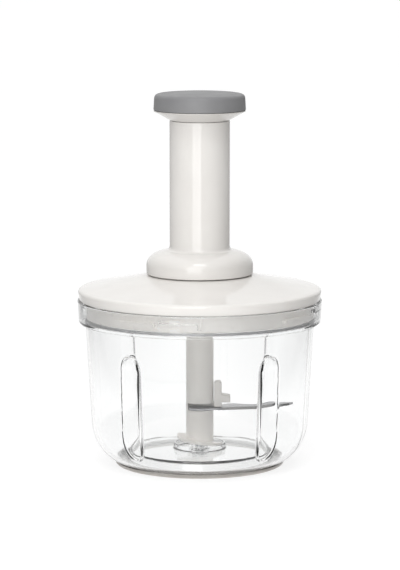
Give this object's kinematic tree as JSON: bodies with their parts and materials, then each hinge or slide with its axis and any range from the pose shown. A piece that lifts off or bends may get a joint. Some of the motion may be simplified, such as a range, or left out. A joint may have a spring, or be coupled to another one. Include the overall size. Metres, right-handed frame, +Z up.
{
  "type": "push-down food chopper",
  "caption": "Push-down chopper: clear fluted bowl, twist-on lid, tall push handle with a round palm cap, and a curved blade on a central spindle turned by a twisted strip.",
  "frame": {"origin": "centre of the foot on the surface it stands on", "axes": "+Z up along the axis of bowl, spindle and handle; -Y is the pictured front; +X its right"},
  "size_m": [0.1604, 0.1604, 0.2444],
  "materials": {
    "clear_plastic": "clear moulded plastic, polished",
    "white_gloss": "warm white, glossy",
    "white_satin": "warm white, satin",
    "grey_soft": "soft-touch mid grey, matte",
    "grey_ring": "translucent grey elastomer",
    "seal_silicone": "milky silicone",
    "acetal": "natural acetal",
    "blade_steel": "stainless, ground edge",
    "plain_steel": "stainless, plain",
    "spring_steel": "drawn spring wire"
  },
  "bodies": {
    "bowl": {"bowl": "clear_plastic", "pivot_pin": "plain_steel", "non_slip_ring": "grey_ring"},
    "seal": {"lid_seal": "seal_silicone"},
    "lid": {"lid_shell": "white_gloss", "lid_underside": "white_satin", "lid_screw_1": "plain_steel", "lid_screw_2": "plain_steel", "lid_screw_3": "plain_steel", "lid_screw_4": "plain_steel", "thrust_washer": "plain_steel", "guide_tube": "white_satin", "guide_bush": "acetal", "spring_seat": "plain_steel", "return_spring": "spring_steel"},
    "nut": {"drive_nut": "acetal"},
    "clutch": {"clutch_ring": "acetal"},
    "handle": {"handle_sleeve": "white_gloss", "collar_plate": "white_satin", "palm_flange": "white_gloss", "palm_cap": "grey_soft", "drive_strip": "plain_steel", "strip_pin": "plain_steel"},
    "blade_set": {"spindle": "white_satin", "spindle_bush": "acetal", "blade": "blade_steel", "blade_clip": "white_satin"}
  },
  "joints": [
    {"name": "lid_lift", "type": "slide", "parent": "bowl", "child": "seal", "axis": [0, 0, 1], "range_m": [0, 0.12]},
    {"name": "lid_turn", "type": "hinge", "parent": "seal", "child": "lid", "pos_m": [0, 0, 0.1], "axis": [0, 0, 1], "range_deg": [0, 20]},
    {"name": "handle_slide", "type": "slide", "parent": "lid", "child": "handle", "axis": [0, 0, 1], "range_m": [0, 0.055], "deforming": ["return_spring"]},
    {"name": "nut_spin", "type": "hinge", "parent": "lid", "child": "nut", "pos_m": [0, 0, 0.114], "axis": [0, 0, 1], "continuous": true},
    {"name": "clutch_spin", "type": "hinge", "parent": "lid", "child": "clutch", "pos_m": [0, 0, 0.105], "axis": [0, 0, 1], "continuous": true},
    {"name": "blade_spin", "type": "hinge", "parent": "bowl", "child": "blade_set", "pos_m": [0, 0, 0.037], "axis": [0, 0, 1], "continuous": true}
  ],
  "couplings": [
    {"joint": "nut_spin", "follows": "handle_slide", "rad_per_m": 130.9},
    {"joint": "clutch_spin", "follows": "handle_slide", "rad_per_m": 130.9},
    {"joint": "blade_spin", "follows": "handle_slide", "rad_per_m": 130.9}
  ]
}
